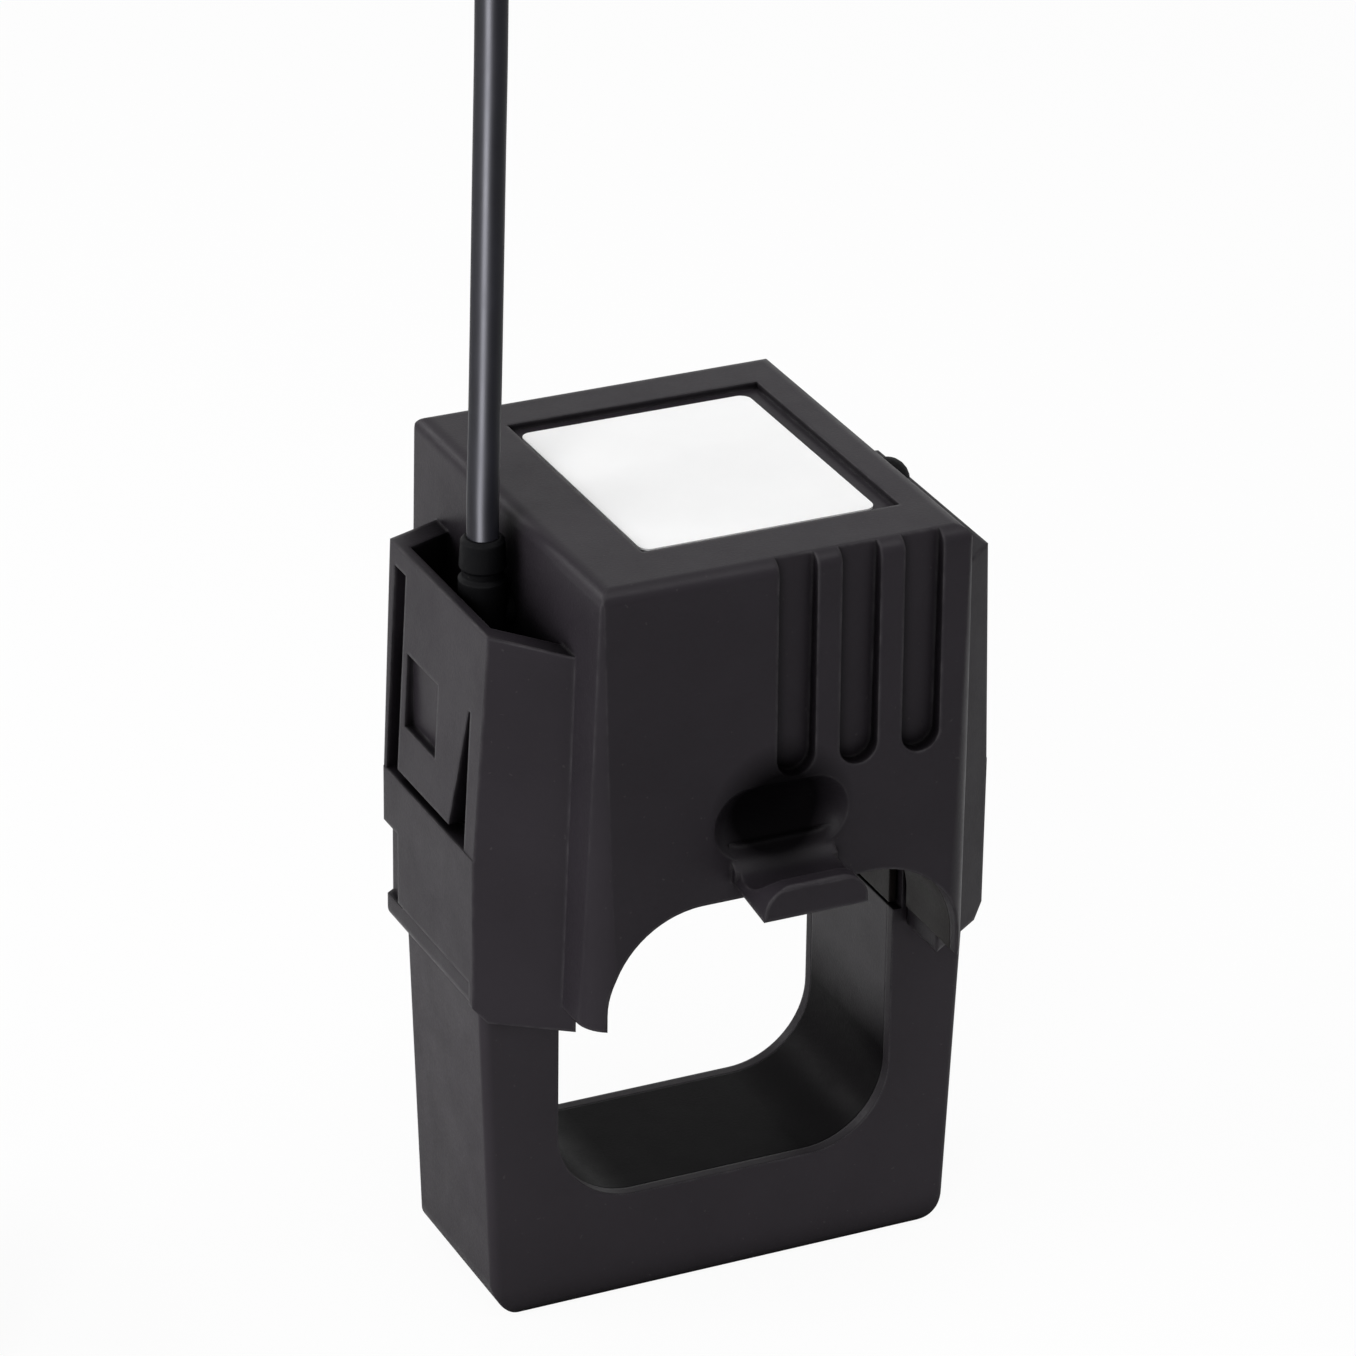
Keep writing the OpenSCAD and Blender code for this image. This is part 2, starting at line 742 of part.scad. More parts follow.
module core_brown() {
  color([0.4, 0.22, 0.1]) along_tail(tail_len, core_wire_len, -0.85, core_wire_r, 16);
}

module core_blue() {
  color([0.12, 0.3, 0.65]) along_tail(tail_len, core_wire_len, 0.85, core_wire_r, 16);
}

module ferrule_brown() {
  color([0.75, 0.75, 0.76])
    along_tail(tail_len + core_wire_len, ferrule_len, -0.85, ferrule_r, 16);
}

module ferrule_blue() {
  color([0.75, 0.75, 0.76])
    along_tail(tail_len + core_wire_len, ferrule_len, 0.85, ferrule_r, 16);
}

lower_shell();
lower_lining();
lower_core();
core_spring();
housing_shell();
tunnel_liner();
nameplate();
upper_core();
bobbin();
secondary_winding();
winding_tape();
tag_start();
tag_finish();
inner_lead_brown();
inner_lead_blue();
cable_grommet();
blanking_plug();
cable_run();
cable_coil();
coil_tie();
cable_tail();
core_brown();
core_blue();
ferrule_brown();
ferrule_blue();
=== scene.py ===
"""Looks of a clip-on current transformer: moulded black halves, blank label and a coiled lead."""
import logging
import math
from dataclasses import dataclass, field
from enum import Enum

import bmesh
import bpy
from mathutils import Matrix, Vector


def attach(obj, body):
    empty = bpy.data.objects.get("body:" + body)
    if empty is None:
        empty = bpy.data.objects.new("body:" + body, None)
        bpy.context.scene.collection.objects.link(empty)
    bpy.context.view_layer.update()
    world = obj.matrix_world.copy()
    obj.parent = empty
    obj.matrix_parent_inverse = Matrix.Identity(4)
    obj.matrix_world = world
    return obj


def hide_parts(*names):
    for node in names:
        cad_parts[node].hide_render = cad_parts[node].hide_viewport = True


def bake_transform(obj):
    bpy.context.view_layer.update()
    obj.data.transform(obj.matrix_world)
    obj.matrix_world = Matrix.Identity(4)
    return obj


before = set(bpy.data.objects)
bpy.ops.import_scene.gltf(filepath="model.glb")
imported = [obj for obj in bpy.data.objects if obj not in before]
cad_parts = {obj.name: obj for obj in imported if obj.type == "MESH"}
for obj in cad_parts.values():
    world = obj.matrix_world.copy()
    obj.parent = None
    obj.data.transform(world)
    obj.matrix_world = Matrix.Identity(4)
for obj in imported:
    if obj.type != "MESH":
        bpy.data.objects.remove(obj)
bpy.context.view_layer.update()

LOG = logging.getLogger("current_transformer")
MM = 0.001
Color = tuple[float, float, float]
Point = tuple[float, float, float]


# ---- Small tools ----


def millimetres(point: Point) -> Vector:
    """A point written in millimetres, as a vector in metres."""
    return Vector(point) * MM


def smooth_step(t: float) -> float:
    """Eases t from 0 to 1, and holds it there outside."""
    t = min(1.0, max(0.0, t))
    return t * t * (3 - 2 * t)


def between(before: Vector, here: Vector, there: Vector, after: Vector, t: float) -> Vector:
    """Point on a smooth line through four knots.

    Args:
        before: Knot before the stretch.
        here: Knot at its start.
        there: Knot at its end.
        after: Knot after it.
        t: How far along the stretch, from 0 to 1.

    Returns:
        The point.
    """
    bend = 2 * before - 5 * here + 4 * there - after
    twist = 3 * (here - there) + after - before
    return here + 0.5 * t * (there - before + t * (bend + t * twist))


def piece_from_bmesh(name: str, bm: bmesh.types.BMesh, smooth_deg: float = 35.0) -> bpy.types.Object:
    """Turns a bmesh into a linked object at the origin.

    Args:
        name: Name of the new piece.
        bm: The finished bmesh, freed here.
        smooth_deg: Edges flatter than this are shaded smooth.

    Returns:
        The new object.
    """
    bmesh.ops.remove_doubles(bm, verts=bm.verts, dist=1e-7)
    bmesh.ops.recalc_face_normals(bm, faces=bm.faces)
    mesh = bpy.data.meshes.new(name)
    for face in bm.faces:
        face.smooth = True
    for edge in bm.edges:
        edge.smooth = len(edge.link_faces) == 2 and edge.calc_face_angle(0) < math.radians(smooth_deg)
    bm.to_mesh(mesh)
    bm.free()
    piece = bpy.data.objects.new(name, mesh)
    bpy.context.scene.collection.objects.link(piece)
    return piece


def dress(piece: bpy.types.Object, material: bpy.types.Material) -> bpy.types.Object:
    """Gives a piece one material on all its faces."""
    piece.data.materials.clear()
    piece.data.materials.append(material)
    return piece


# ---- Finishes ----


class Surface:
    """Node tree of one material, with short calls for the nodes that the finishes share."""

    def __init__(self, name: str) -> None:
        """Starts an empty tree with a Principled shader and Object coordinates."""
        self.material = bpy.data.materials.new(name)
        self.material.use_nodes = True
        self.tree = self.material.node_tree
        self.tree.nodes.clear()
        self.out = self.tree.nodes.new("ShaderNodeOutputMaterial")
        self.shader = self.tree.nodes.new("ShaderNodeBsdfPrincipled")
        self.link(self.shader.outputs["BSDF"], self.out.inputs["Surface"])
        self.coords = self.tree.nodes.new("ShaderNodeTexCoord")

    def link(self, source: bpy.types.NodeSocket, target: bpy.types.NodeSocket) -> None:
        """Joins two sockets."""
        self.tree.links.new(source, target)

    def set(self, **values: float | Color | tuple) -> "Surface":
        """Sets the shader's own sockets; underscores stand for spaces.

        Args:
            values: Values of the sockets; three numbers are a colour.

        Returns:
            The same tree.
        """
        for key, value in values.items():
            is_color = isinstance(value, tuple) and len(value) == 3
            socket = self.shader.inputs[key.replace("_", " ")]
            socket.default_value = (*value, 1.0) if is_color else value
        return self

    def node(self, kind: str, **settings: object) -> bpy.types.Node:
        """Adds a node.

        Args:
            kind: The node's type, without the part that all shader nodes share.
            settings: Properties of the node, or values of its sockets, with underscores for spaces.

        Returns:
            The node.
        """
        made = self.tree.nodes.new(f"ShaderNode{kind}")
        for key, value in settings.items():
            if hasattr(made, key):
                setattr(made, key, value)
            else:
                made.inputs[key.replace("_", " ")].default_value = value
        return made

    def place(self, stretch: Point = (1, 1, 1)) -> bpy.types.NodeSocket:
        """Object coordinates, stretched along each axis."""
        mapping = self.node("Mapping", Scale=stretch)
        self.link(self.coords.outputs["Object"], mapping.inputs["Vector"])
        return mapping.outputs["Vector"]

    def noise(
        self, grain_mm: float, detail: float = 3.0, stretch: Point = (1, 1, 1), rough: float = 0.5
    ) -> bpy.types.NodeSocket:
        """Noise with grains of the given size.

        Args:
            grain_mm: Size of one grain.
            detail: Octaves of finer noise in it.
            stretch: Scale along each axis.
            rough: Weight of the finer octaves.

        Returns:
            The noise's value.
        """
        made = self.node("TexNoise", Scale=1000 / grain_mm, Detail=detail, Roughness=rough)
        self.link(self.place(stretch), made.inputs["Vector"])
        return made.outputs["Fac"]

    def ramp(
        self, source: bpy.types.NodeSocket, low: float, high: float, start: float, end: float
    ) -> bpy.types.NodeSocket:
        """Maps one range of a value to another, clamped.

        Args:
            source: The value.
            low: Value that gives the start.
            high: Value that gives the end.
            start: Result at low.
            end: Result at high.

        Returns:
            The mapped value.
        """
        made = self.node("MapRange")
        self.link(source, made.inputs["Value"])
        for key, value in (("From Min", low), ("From Max", high), ("To Min", start), ("To Max", end)):
            made.inputs[key].default_value = value
        return made.outputs["Result"]

    def maths(
        self, how: str, first: bpy.types.NodeSocket | float, second: bpy.types.NodeSocket | float
    ) -> bpy.types.NodeSocket:
        """Joins two values with one operation.

        Args:
            how: The Math node's operation.
            first: A socket or a number.
            second: A socket or a number.

        Returns:
            The result.
        """
        made = self.node("Math", operation=how)
        for socket, value in zip(made.inputs, (first, second)):
            if isinstance(value, bpy.types.NodeSocket):
                self.link(value, socket)
            else:
                socket.default_value = value
        return made.outputs["Value"]

    def blend(
        self, amount: bpy.types.NodeSocket, first: Color | bpy.types.NodeSocket, second: Color
    ) -> bpy.types.NodeSocket:
        """Colour that goes from one to another.

        Args:
            amount: How far, from 0 to 1.
            first: Colour at 0.
            second: Colour at 1.

        Returns:
            The mixed colour.
        """
        made = self.node("Mix", data_type="RGBA")
        self.link(amount, made.inputs[0])
        if isinstance(first, bpy.types.NodeSocket):
            self.link(first, made.inputs[6])
        else:
            made.inputs[6].default_value = (*first, 1.0)
        made.inputs[7].default_value = (*second, 1.0)
        return made.outputs[2]

    def bump(
        self, height: bpy.types.NodeSocket, depth_mm: float, base: bpy.types.NodeSocket | None = None
    ) -> bpy.types.NodeSocket:
        """Normal that follows a height.

        Args:
            height: The height, from 0 to 1.
            depth_mm: How high 1 is.
            base: Normal that it is added to.

        Returns:
            The normal.
        """
        made = self.node("Bump", Distance=depth_mm * MM, Strength=1.0)
        self.link(height, made.inputs["Height"])
        if base is not None:
            self.link(base, made.inputs["Normal"])
        return made.outputs["Normal"]

    def into(self, key: str, source: bpy.types.NodeSocket) -> None:
        """Feeds one of the shader's sockets."""
        self.link(source, self.shader.inputs[key])


@dataclass(frozen=True)
class MouldedPlastic:
    """Injection-moulded plastic with a spark-eroded grain, softened edges painted lighter for wear and
    as a painted highlight, a little dust and painted shade.
    """

    name: str
    color: Color
    wear_and_highlight: Color
    roughness: float = 0.5
    grain_mm: float = 0.35
    grain_depth: float = 0.02
    edge_mm: float = 0.35
    specular: float = 0.4
    cavity_mm: float = 0.0
    low_mm: tuple[float, float] = (0.0, 0.0)
    hollows: tuple[tuple[Point, float], ...] = ()
    cloud_mm: float = 18.0
    speck_mm: float = 0.6
    speck_share: float = 0.06
    speck_color: Color = (0.2, 0.19, 0.18)
    wear_and_highlight_share: float = 0.55
    left_in_shade: float = 0.12
    shade_low: float = 0.95

    def build(self) -> bpy.types.Material:
        """Makes the material."""
        s = Surface(self.name)
        s.set(Specular_IOR_Level=self.specular, IOR=1.5)
        clouds = s.noise(self.cloud_mm, 2)
        grain = s.noise(self.grain_mm, 4, rough=0.65)
        soft = s.node("Bevel", samples=6, Radius=self.edge_mm * MM)
        true_normal = s.node("NewGeometry")
        facing = s.node("VectorMath", operation="DOT_PRODUCT")
        s.link(soft.outputs["Normal"], facing.inputs[0])
        s.link(true_normal.outputs["Normal"], facing.inputs[1])
        edge = s.ramp(facing.outputs["Value"], 0.995, 0.86, 0.0, 1.0)
        # Lighter edges: partly real wear, partly a painted highlight along the softened edges.
        wear_and_highlight = s.maths("MULTIPLY", edge, s.ramp(s.noise(2.2, 4), 0.35, 0.7, 0.15, 1.0))
        tone = s.blend(s.ramp(clouds, 0.3, 0.7, 0.0, 1.0), self.color,
                       tuple(1.22 * c for c in self.color))
        speck = s.maths("GREATER_THAN", s.noise(self.speck_mm, 1), 0.77)
        tone = s.blend(s.maths("MULTIPLY", speck, self.speck_share), tone, self.speck_color)
        # Edges are painted towards the lighter colour, for wear together with a painted edge highlight.
        tone = s.blend(s.maths("MULTIPLY", wear_and_highlight, self.wear_and_highlight_share), tone, self.wear_and_highlight)
        shade = self.shade(s)
        if shade is not None:
            tone = s.blend(shade, tone, tuple(self.left_in_shade * c for c in self.color))
            s.into("Specular IOR Level",
                   s.ramp(shade, 0.0, 1.0, self.specular, self.left_in_shade * self.specular))
        s.into("Base Color", tone)
        rub = s.ramp(s.noise(7, 5, rough=0.7), 0.3, 0.75, -0.05, 0.08)
        rub = s.maths("ADD", rub, s.ramp(grain, 0.3, 0.7, -0.04, 0.04))
        s.into("Roughness", s.maths("ADD", rub, self.roughness))
        s.into("Normal", s.bump(grain, self.grain_depth, soft.outputs["Normal"]))
        return s.material

    def shade(self, s: Surface) -> bpy.types.NodeSocket | None:
        """Shade in narrow hollows, below a height and inside soft balls.

        Args:
            s: The material's node tree.

        Returns:
            A value from 0, open, to 1, fully shaded, or None for an even finish.
        """
        place = s.coords.outputs["Object"]
        found = []
        if self.cavity_mm:
            open_share = s.node("AmbientOcclusion", samples=8, Distance=self.cavity_mm * MM)
            found.append(s.ramp(open_share.outputs["AO"], 0.8, 0.3, 0.0, 1.0))
        if self.low_mm[0]:
            split = s.node("SeparateXYZ")
            s.link(place, split.inputs["Vector"])
            starts, full = (height * MM for height in self.low_mm)
            found.append(s.ramp(split.outputs["Z"], starts, full, 0.0, self.shade_low))
        for centre, radius in self.hollows:
            reach = s.node("VectorMath", operation="DISTANCE")
            s.link(place, reach.inputs[0])
            reach.inputs[1].default_value = millimetres(centre)
            found.append(s.ramp(reach.outputs["Value"], radius * MM, 0.55 * radius * MM, 0.0, 1.0))
        most = found.pop(0) if found else None
        for more in found:
            most = s.maths("MAXIMUM", most, more)
        return most


@dataclass(frozen=True)
class SheathPlastic:
    """Smooth extruded PVC with faint drag marks, for a lead or a wire."""

    name: str
    color: Color
    roughness: float = 0.28
    specular: float = 0.5
    drawn: float = 0.0

    def build(self) -> bpy.types.Material:
        """Makes the material."""
        s = Surface(self.name)
        s.set(Specular_IOR_Level=self.specular, Anisotropic=self.drawn)
        if self.drawn:
            s.into("Tangent", s.node("CombineXYZ", Z=1.0).outputs["Vector"])
        marks = s.noise(0.5, 3, stretch=(1, 1, 0.06))
        haze = s.noise(9, 3)
        s.into("Base Color", s.blend(s.ramp(haze, 0.35, 0.7, 0.0, 1.0), self.color,
                                     tuple(1.5 * c for c in self.color)))
        s.into("Roughness", s.maths("ADD", s.ramp(haze, 0.3, 0.7, -0.04, 0.07), self.roughness))
        s.into("Normal", s.bump(marks, 0.004))
        return s.material


@dataclass(frozen=True)
class BlankLabel:
    """White film with a fine paper tooth and a slightly grey cut edge."""

    name: str
    color: Color

    def build(self) -> bpy.types.Material:
        """Makes the material."""
        s = Surface(self.name)
        s.set(Specular_IOR_Level=0.3)
        tooth = s.noise(0.16, 4, rough=0.7)
        haze = s.noise(11, 3)
        s.into("Base Color", s.blend(s.ramp(haze, 0.3, 0.75, 0.0, 1.0), self.color,
                                     tuple(0.97 * c for c in self.color)))
        s.into("Roughness", s.ramp(tooth, 0.3, 0.7, 0.5, 0.62))
        s.into("Normal", s.bump(tooth, 0.006))
        return s.material


@dataclass(frozen=True)
class Metal:
    """Drawn or rolled metal, with bands across one axis where it is stacked or wound."""

    name: str
    color: Color
    dark: Color
    roughness: float = 0.3
    band_axis: str = ""
    band_mm: float = 0.35
    band_depth: float = 0.03

    def build(self) -> bpy.types.Material:
        """Makes the material."""
        s = Surface(self.name)
        s.set(Metallic=1.0)
        haze = s.noise(3.5, 4, rough=0.6)
        scratches = s.noise(0.25, 2, stretch=(1, 0.05, 1))
        tone = s.blend(s.ramp(haze, 0.3, 0.7, 0.0, 1.0), self.color,
                       tuple(0.8 * c for c in self.color))
        normal = s.bump(scratches, 0.003)
        if self.band_axis:
            bands = s.node("TexWave", wave_type="BANDS", bands_direction=self.band_axis,
                           wave_profile="SIN", Scale=1000 / self.band_mm / 20, Distortion=0.25,
                           Detail=1.0, Detail_Scale=0.4)
            s.link(s.coords.outputs["Object"], bands.inputs["Vector"])
            fac = bands.outputs["Fac"]
            tone = s.blend(s.ramp(fac, 0.3, 0.0, 0.0, 0.8), tone, self.dark)
            normal = s.bump(fac, self.band_depth, normal)
        s.into("Base Color", tone)
        s.into("Roughness", s.maths("ADD", s.ramp(haze, 0.3, 0.7, -0.06, 0.1), self.roughness))
        s.into("Normal", normal)
        return s.material


@dataclass(frozen=True)
class WindingTape:
    """Thin polyester tape in overlapping laps, with the winding's turns printed through it."""

    name: str
    color: Color
    lap_mm: float = 9.5

    def build(self) -> bpy.types.Material:
        """Makes the material."""
        s = Surface(self.name)
        s.set(Coat_Weight=0.5, Coat_Roughness=0.12, Specular_IOR_Level=0.5)
        laps = s.node("TexWave", wave_type="BANDS", bands_direction="X", wave_profile="SAW",
                      Scale=1000 / self.lap_mm / 20, Distortion=0.15, Detail=0.0)
        turns = s.node("TexWave", wave_type="BANDS", bands_direction="X", wave_profile="SIN",
                       Scale=1000 / 0.6 / 20, Distortion=0.3, Detail=1.0)
        for made in (laps, turns):
            s.link(s.coords.outputs["Object"], made.inputs["Vector"])
        s.into("Base Color", s.blend(laps.outputs["Fac"], self.color,
                                     tuple(0.72 * c for c in self.color)))
        s.into("Roughness", s.ramp(s.noise(2.5, 3), 0.3, 0.7, 0.22, 0.36))
        normal = s.bump(laps.outputs["Fac"], 0.05)
        s.into("Normal", s.bump(turns.outputs["Fac"], 0.012, normal))
        return s.material


@dataclass(frozen=True)
class HookAndLoop:
    """Woven band with a fuzzy face."""

    name: str
    color: Color

    def build(self) -> bpy.types.Material:
        """Makes the material."""
        s = Surface(self.name)
        s.set(Sheen_Weight=0.5, Sheen_Roughness=0.4, Specular_IOR_Level=0.25)
        fuzz = s.noise(0.22, 5, rough=0.75)
        weave = s.node("TexVoronoi", feature="F1", Scale=2600.0)
        s.link(s.coords.outputs["Object"], weave.inputs["Vector"])
        s.into("Base Color", s.blend(s.ramp(fuzz, 0.3, 0.75, 0.0, 1.0), self.color,
                                     tuple(2.2 * c for c in self.color)))
        s.into("Roughness", s.ramp(fuzz, 0.3, 0.7, 0.75, 0.95))
        normal = s.bump(weave.outputs["Distance"], 0.08)
        s.into("Normal", s.bump(fuzz, 0.06, normal))
        return s.material


class Slot(Enum):
    """The record's material slots, and one finish more for the inside of the frame."""

    FRAME = "frame_plastic"
    LINING = "frame_plastic_inside"
    HOUSING = "housing_plastic"
    LINER = "liner_plastic"
    LABEL = "label_film"
    CORE = "core_steel"
    SPRING = "spring_steel"
    BOBBIN = "bobbin_plastic"
    WIRE = "enamelled_wire"
    TAPE = "winding_tape"
    TINNED = "tinned_metal"
    BROWN = "brown_insulation"
    BLUE = "blue_insulation"
    GROMMET = "grommet_rubber"
    SHEATH = "lead_sheath"
    TIE = "tie_plastic"


# Each moulded plastic's second colour is its lighter edges, wear together with a painted edge
# highlight.
FINISHES = {
    Slot.FRAME: MouldedPlastic("frame_black", (0.0195, 0.0168, 0.0202), (0.075, 0.07, 0.075),
                               roughness=0.4, edge_mm=0.5, specular=0.1, cavity_mm=7),
    Slot.LINING: MouldedPlastic("lining_black", (0.023, 0.02, 0.024), (0.06, 0.056, 0.06),
                                roughness=0.36, specular=0.15, cavity_mm=7, low_mm=(34, 25)),
    Slot.HOUSING: MouldedPlastic("housing_black", (0.0155, 0.0133, 0.0163), (0.085, 0.08, 0.085),
                                 roughness=0.36, edge_mm=0.7, specular=0.085, cavity_mm=10,
                                 hollows=(((-1, -25.5, 70.3), 9.5),)),
    Slot.LINER: MouldedPlastic("liner_black", (0.009, 0.0072, 0.0068), (0.03, 0.026, 0.026),
                               roughness=0.4, specular=0.08, cavity_mm=7),
    Slot.LABEL: BlankLabel("label_white", (0.93, 0.93, 0.93)),
    Slot.CORE: Metal("core_sheets", (0.36, 0.37, 0.39), (0.05, 0.05, 0.055), 0.36, "Y", 0.35, 0.05),
    Slot.SPRING: Metal("spring_strip", (0.56, 0.57, 0.59), (0.2, 0.2, 0.2), 0.24),
    Slot.BOBBIN: MouldedPlastic("bobbin_nylon", (0.72, 0.66, 0.52), (0.8, 0.76, 0.64), 0.42,
                                grain_depth=0.008),
    Slot.WIRE: Metal("enamelled_copper", (0.66, 0.27, 0.1), (0.08, 0.02, 0.01), 0.25, "X", 0.6, 0.12),
    Slot.TAPE: WindingTape("tape_amber", (0.72, 0.5, 0.07)),
    Slot.TINNED: Metal("tinned", (0.72, 0.72, 0.7), (0.3, 0.3, 0.3), 0.26),
    Slot.BROWN: SheathPlastic("insulation_brown", (0.17, 0.065, 0.025), 0.35),
    Slot.BLUE: SheathPlastic("insulation_blue", (0.025, 0.11, 0.38), 0.35),
    Slot.GROMMET: MouldedPlastic("grommet_rubber", (0.0035, 0.0035, 0.004), (0.02, 0.02, 0.021), 0.5,
                                 grain_mm=0.5, specular=0.04, cavity_mm=8),
    Slot.SHEATH: SheathPlastic("sheath_black", (0.004, 0.004, 0.0065), 0.48, 0.16, 0.55),
    Slot.TIE: HookAndLoop("tie_band", (0.02, 0.02, 0.022)),
}


class Wardrobe:
    """Makes each finish once, and puts it on CAD nodes and new pieces."""

    def __init__(self) -> None:
        """Builds all the finishes."""
        self.made = {slot: finish.build() for slot, finish in FINISHES.items()}

    def piece(self, piece: bpy.types.Object, slot: Slot, body: str) -> bpy.types.Object:
        """Dresses a new piece and lets it ride on a body.

        Args:
            piece: The piece.
            slot: Its finish.
            body: The body that it moves with.

        Returns:
            The same piece.
        """
        dress(piece, self.made[slot])
        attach(piece, body)
        LOG.info("piece %s rides on %s", piece.name, body)
        return piece

    def nodes(self, slots: dict[str, Slot]) -> None:
        """Dresses CAD nodes."""
        for name, slot in slots.items():
            dress(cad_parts[name], self.made[slot])
            LOG.info("node %s wears %s", name, slot.value)


# ---- Camera, light and floor ----


@dataclass(frozen=True)
class Softbox:
    """Rectangular lamp that shines from one place towards another, in metres."""

    name: str
    place: Point
    size: tuple[float, float]
    watts: float
    aim: Point = (0, 0, 0.1)
    color: Color = (1, 1, 1)
    reflections_only: bool = False

    def build(self) -> bpy.types.Object:
        """Makes the lamp.

        Returns:
            The lamp.
        """
        data = bpy.data.lights.new(self.name, "AREA")
        data.shape = "RECTANGLE"
        data.size, data.size_y = self.size
        data.energy = self.watts
        data.color = self.color
        lamp = bpy.data.objects.new(self.name, data)
        away = Vector(self.place) - Vector(self.aim)
        lamp.rotation_euler = away.to_track_quat("Z", "Y").to_euler()
        lamp.location = self.place
        lamp.visible_diffuse = not self.reflections_only
        bpy.context.scene.collection.objects.link(lamp)
        return lamp


SOFTBOXES = (
    Softbox("softbox_left", (-1.0, 0.1, 0.45), (0.7, 0.9), 9.0, aim=(0, 0, 0.05)),
    Softbox("softbox_top", (0.1, -0.1, 1.1), (0.8, 0.8), 4.2, aim=(0, 0, 0.05)),
    Softbox("softbox_key", (-0.8, -0.9, 0.6), (0.35, 0.9), 7.0),
    Softbox("glint_edges", (0.38, -0.45, 0.85), (0.3, 0.3), 2.0, reflections_only=True),
    Softbox("glint_rims", (-0.55, 0.95, 0.45), (0.4, 0.3), 1.5, reflections_only=True),
)
LEAD_GLINT = Softbox("glint_lead_sheath", (-0.85, -0.88, 0.1), (0.5, 0.5), 230.0,
                     color=(0.9, 0.9, 1.0), reflections_only=True)


@dataclass
class Studio:
    """Camera at a three-quarter view from above, a white surround and soft light."""

    azimuth_deg: float = -25.248
    elevation_deg: float = 26.229
    roll_deg: float = -0.822
    distance_mm: float = 803.4
    aside_mm: float = 0.48
    below_mm: float = 67.45
    lens_mm: float = 172.57
    sensor_mm: float = 36.0
    clip: tuple[float, float] = (0.05, 20.0)
    floor_half: float = 3.0
    floor_drop_mm: float = 0.05
    floor_white: float = 0.86
    floor_seen_white: float = 0.94
    surround_strength: float = 0.32

    def camera(self) -> None:
        """Places the camera."""
        azimuth, elevation, roll = (math.radians(a) for a in
                                    (self.azimuth_deg, self.elevation_deg, self.roll_deg))
        back = Vector((math.sin(azimuth) * math.cos(elevation),
                       -math.cos(azimuth) * math.cos(elevation), math.sin(elevation)))
        right = Vector((math.cos(azimuth), math.sin(azimuth), 0))
        down = (-back).cross(right)
        across = right * math.cos(roll) + down * math.sin(roll)
        under = down * math.cos(roll) - right * math.sin(roll)
        place = MM * (back * self.distance_mm - across * self.aside_mm - under * self.below_mm)
        data = bpy.data.cameras.new("camera")
        data.sensor_fit = "HORIZONTAL"
        data.sensor_width = self.sensor_mm
        data.lens = self.lens_mm
        data.clip_start, data.clip_end = self.clip
        camera = bpy.data.objects.new("camera", data)
        turn = Matrix((across, -under, back)).transposed().to_4x4()
        camera.matrix_world = Matrix.Translation(place) @ turn
        bpy.context.scene.collection.objects.link(camera)
        bpy.context.scene.camera = camera

    def stripe(self, piece: bpy.types.Object) -> None:
        """Draws a long highlight on one piece, with a lamp that lights nothing else.

        Args:
            piece: The piece.
        """
        lamp = LEAD_GLINT.build()
        lit = bpy.data.collections.new("lit_by_" + lamp.name)
        lit.objects.link(piece)
        lamp.light_linking.receiver_collection = lit

    def surround(self) -> None:
        """World that lights softly and shows white behind the object."""
        world = bpy.data.worlds.new("surround")
        world.use_nodes = True
        nodes, links = world.node_tree.nodes, world.node_tree.links
        nodes.clear()
        path = nodes.new("ShaderNodeLightPath")
        seen = path.outputs["Is Camera Ray"]
        for ray in ("Is Transmission Ray", "Is Glossy Ray"):
            either = nodes.new("ShaderNodeMath")
            either.operation = "MAXIMUM"
            links.new(seen, either.inputs[0])
            links.new(path.outputs[ray], either.inputs[1])
            seen = either.outputs[0]
        mix, out = nodes.new("ShaderNodeMixShader"), nodes.new("ShaderNodeOutputWorld")
        links.new(seen, mix.inputs[0])
        for socket, strength in ((1, self.surround_strength), (2, 1.0)):
            white = nodes.new("ShaderNodeBackground")
            white.inputs["Color"].default_value = (1, 1, 1, 1)
            white.inputs["Strength"].default_value = strength
            links.new(white.outputs[0], mix.inputs[socket])
        links.new(mix.outputs[0], out.inputs["Surface"])
        bpy.context.scene.world = world

    def floor(self) -> None:
        """White floor, which shows the camera mostly plain white and keeps a faint shadow."""
        bm = bmesh.new()
        bmesh.ops.create_grid(bm, x_segments=1, y_segments=1, size=self.floor_half)
        bmesh.ops.translate(bm, verts=bm.verts, vec=(0, 0, -self.floor_drop_mm * MM))
        floor = piece_from_bmesh("floor", bm)
        s = Surface("floor_white")
        s.set(Base_Color=(self.floor_white,) * 3, Roughness=0.9, Specular_IOR_Level=0.0)
        path = s.node("LightPath")
        glow = s.node("Emission", Strength=1.0)
        mix = s.node("MixShader")
        s.link(s.maths("MULTIPLY", path.outputs["Is Camera Ray"], self.floor_seen_white), mix.inputs[0])
        s.link(s.shader.outputs["BSDF"], mix.inputs[1])
        s.link(glow.outputs["Emission"], mix.inputs[2])
        s.link(mix.outputs["Shader"], s.out.inputs["Surface"])
        dress(floor, s.material)

    def build(self) -> None:
        """Sets up everything round the object."""
        scene = bpy.context.scene
        scene.view_settings.view_transform = "Standard"
        self.camera()
        self.surround()
        self.floor()
        for softbox in SOFTBOXES:
            softbox.build()


# ---- Lead ----


